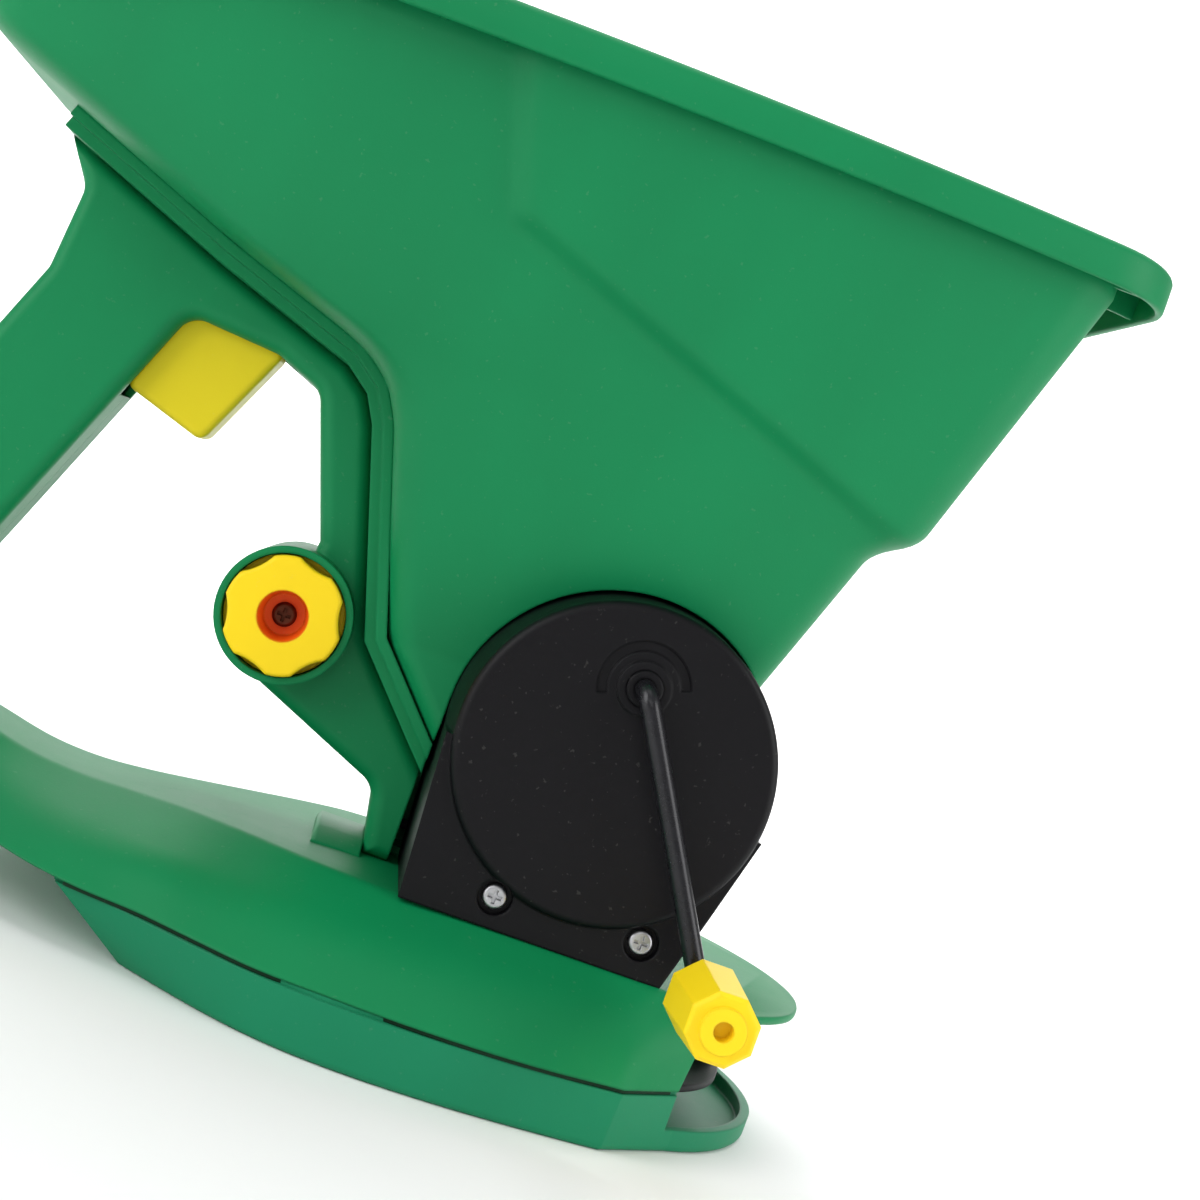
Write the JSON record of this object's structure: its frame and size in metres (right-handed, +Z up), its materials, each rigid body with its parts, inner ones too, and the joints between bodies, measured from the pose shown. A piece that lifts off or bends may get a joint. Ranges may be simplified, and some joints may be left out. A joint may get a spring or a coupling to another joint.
{
  "type": "garden spreader",
  "caption": "Hand-held crank spreader: green hopper on a grip and column, black gearbox drum, yellow trigger, dial and crank knob, impeller in a green base.",
  "frame": {"origin": "on the base's bottom face, in the middle plane, below the column's foot", "axes": "+Z up; +X forward, the way the load is thrown; -Y is the crank side"},
  "size_m": [0.352, 0.2044, 0.272],
  "materials": {
    "green_plastic": "satin",
    "green_base_plastic": "satin",
    "black_plastic": "matte",
    "black_metal": "gloss",
    "yellow_plastic": "satin",
    "gear_nylon": "satin",
    "bush_acetal": "satin",
    "zinc_steel": "satin"
  },
  "bodies": {
    "frame": {"hopper": "green_plastic", "frame_left_shell": "green_plastic", "frame_right_shell": "green_plastic", "frame_screws": "zinc_steel", "base_hood": "green_plastic", "base_pan": "green_base_plastic", "base_screws": "zinc_steel", "outlet_guide": "black_plastic", "gearbox_cover": "black_plastic", "gearbox_housing": "black_plastic", "cover_screws": "zinc_steel", "crank_bush": "black_plastic", "layshaft_bush": "bush_acetal", "impeller_bush_upper": "bush_acetal", "impeller_bush_lower": "bush_acetal", "trigger_pin": "zinc_steel", "trigger_spring": "zinc_steel"},
    "impeller": {"impeller": "black_plastic", "impeller_shaft": "zinc_steel", "impeller_pinion": "gear_nylon", "impeller_nut": "zinc_steel"},
    "layshaft": {"layshaft": "zinc_steel", "compound_gear": "gear_nylon", "agitator": "black_plastic"},
    "crank": {"crank_rod": "black_metal", "crank_gear": "gear_nylon", "crank_collar": "black_metal"},
    "knob": {"crank_knob": "yellow_plastic"},
    "trigger": {"trigger": "yellow_plastic"},
    "link": {"gate_link": "zinc_steel"},
    "gate": {"flow_gate": "black_plastic"},
    "dial": {"flow_dial": "yellow_plastic", "dial_spindle": "gear_nylon", "dial_screw": "zinc_steel"}
  },
  "joints": [
    {"name": "impeller_spin", "type": "hinge", "parent": "frame", "child": "impeller", "pos_m": [0.08, -0.008, 0.02], "axis": [0, 0, 1], "continuous": true},
    {"name": "layshaft_spin", "type": "hinge", "parent": "frame", "child": "layshaft", "pos_m": [0.08, 0, 0.095], "axis": [0, 1, 0], "continuous": true},
    {"name": "crank_spin", "type": "hinge", "parent": "frame", "child": "crank", "pos_m": [0.08, 0, 0.1175], "axis": [0, 1, 0], "continuous": true},
    {"name": "knob_spin", "type": "hinge", "parent": "crank", "child": "knob", "pos_m": [0.1195, 0, 0.0472], "axis": [0, 1, 0], "continuous": true},
    {"name": "trigger_pull", "type": "hinge", "parent": "frame", "child": "trigger", "pos_m": [-0.064, 0, 0.179], "axis": [0, 1, 0], "range_deg": [0, 12], "stiffness_Nm_per_rad": 1, "springref_deg": -6.88, "deforming": ["trigger_spring"]},
    {"name": "link_slide", "type": "slide", "parent": "frame", "child": "link", "axis": [0.342, 0, -0.9397], "range_m": [0, 0.004]},
    {"name": "gate_slide", "type": "slide", "parent": "frame", "child": "gate", "axis": [1, 0, 0], "range_m": [0, 0.015]},
    {"name": "dial_turn", "type": "hinge", "parent": "frame", "child": "dial", "pos_m": [-0.02, 0, 0.1005], "axis": [0, 1, 0], "range_deg": [0, 270]}
  ],
  "couplings": [
    {"joint": "layshaft_spin", "follows": "impeller_spin", "ratio": -0.16667},
    {"joint": "crank_spin", "follows": "impeller_spin", "ratio": 0.083333},
    {"joint": "link_slide", "follows": "trigger_pull", "m_per_rad": 0.019},
    {"joint": "gate_slide", "follows": "trigger_pull", "m_per_rad": 0.0716}
  ]
}
